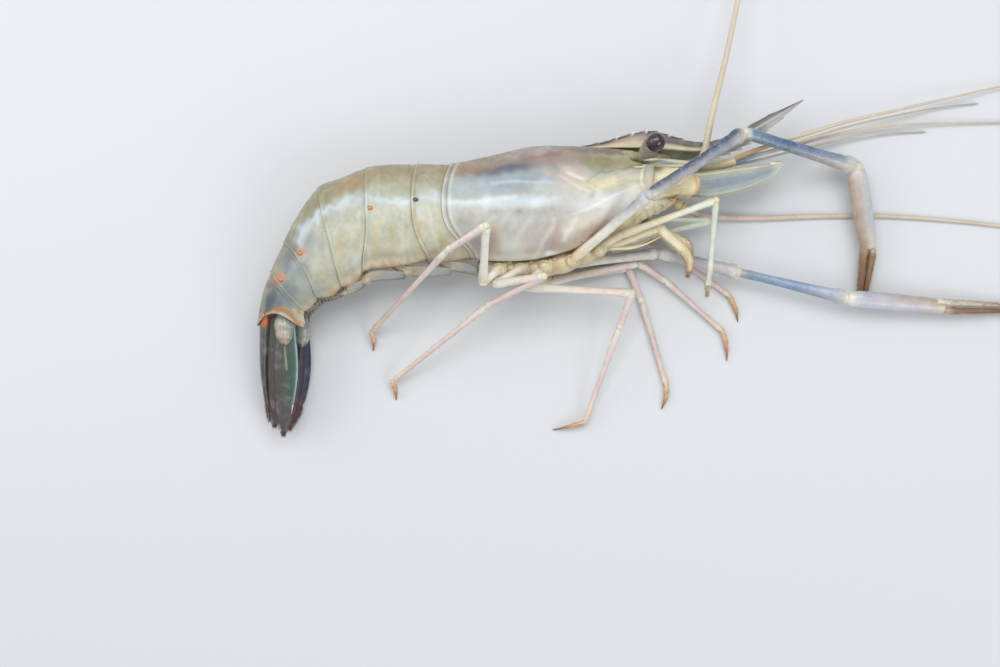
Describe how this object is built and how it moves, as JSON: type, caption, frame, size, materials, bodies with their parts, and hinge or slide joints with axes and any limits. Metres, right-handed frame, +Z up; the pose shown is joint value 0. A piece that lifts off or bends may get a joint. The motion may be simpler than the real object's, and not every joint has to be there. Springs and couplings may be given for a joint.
{
  "type": "giant river prawn",
  "caption": "Life-size giant river prawn lying on its side, with folded tail fan, long clawed arms, thin legs and trailing feelers.",
  "frame": {"origin": "on the floor, under the middle of the animal's outline in plan", "axes": "+X towards the head and the feelers' tips, +Y towards the back, +Z up from the floor, out of the right side"},
  "size_m": [0.3912, 0.2682, 0.0451],
  "materials": {
    "shell": "glossy olive shell",
    "head_shell": "glossy olive-grey shell",
    "cream": "cream, satin",
    "tail": "dark teal, glossy",
    "blue": "cobalt blue, satin",
    "palm": "pinkish beige, satin",
    "finger": "tan brown, satin",
    "pink": "pale pink, satin",
    "pale_green": "pale mint, satin",
    "feeler": "straw yellow, satin",
    "eye": "black, glossy"
  },
  "bodies": {
    "root": {"abdomen_1": "shell", "abdomen_2": "shell", "abdomen_3": "shell", "abdomen_4": "shell", "abdomen_5": "shell", "abdomen_6": "shell", "antenna_base_left": "cream", "antenna_base_right": "cream", "antenna_left": "feeler", "antenna_right": "feeler", "antenna_scale_left": "cream", "antenna_scale_right": "cream", "antennule_base_left": "cream", "antennule_base_right": "cream", "antennule_inner_left": "feeler", "antennule_inner_right": "feeler", "antennule_outer_left": "feeler", "antennule_outer_right": "feeler", "carapace": "head_shell", "claw_arm_left": "blue", "claw_arm_right": "blue", "claw_finger_left": "finger", "claw_finger_right": "finger", "claw_palm_left": "palm", "claw_palm_right": "palm", "claw_wrist_left": "blue", "claw_wrist_right": "blue", "eye_left": "eye", "eye_right": "eye", "eyestalk_left": "head_shell", "eyestalk_right": "head_shell", "leg_1_left": "pale_green", "leg_1_right": "pale_green", "leg_3_left": "pink", "leg_3_right": "pink", "leg_4_left": "pink", "leg_4_right": "pink", "leg_5_left": "pink", "leg_5_right": "pink", "maxilliped_left": "cream", "maxilliped_right": "cream", "mouthparts": "cream", "rostrum": "head_shell", "swimmeret_1_left": "cream", "swimmeret_1_right": "cream", "swimmeret_2_left": "cream", "swimmeret_2_right": "cream", "swimmeret_3_left": "cream", "swimmeret_3_right": "cream", "swimmeret_4_left": "cream", "swimmeret_4_right": "cream", "swimmeret_5_left": "cream", "swimmeret_5_right": "cream", "telson": "tail", "thorax_floor": "cream", "uropod_inner_left": "tail", "uropod_inner_right": "tail", "uropod_outer_left": "tail", "uropod_outer_right": "tail"}
  },
  "joints": []
}
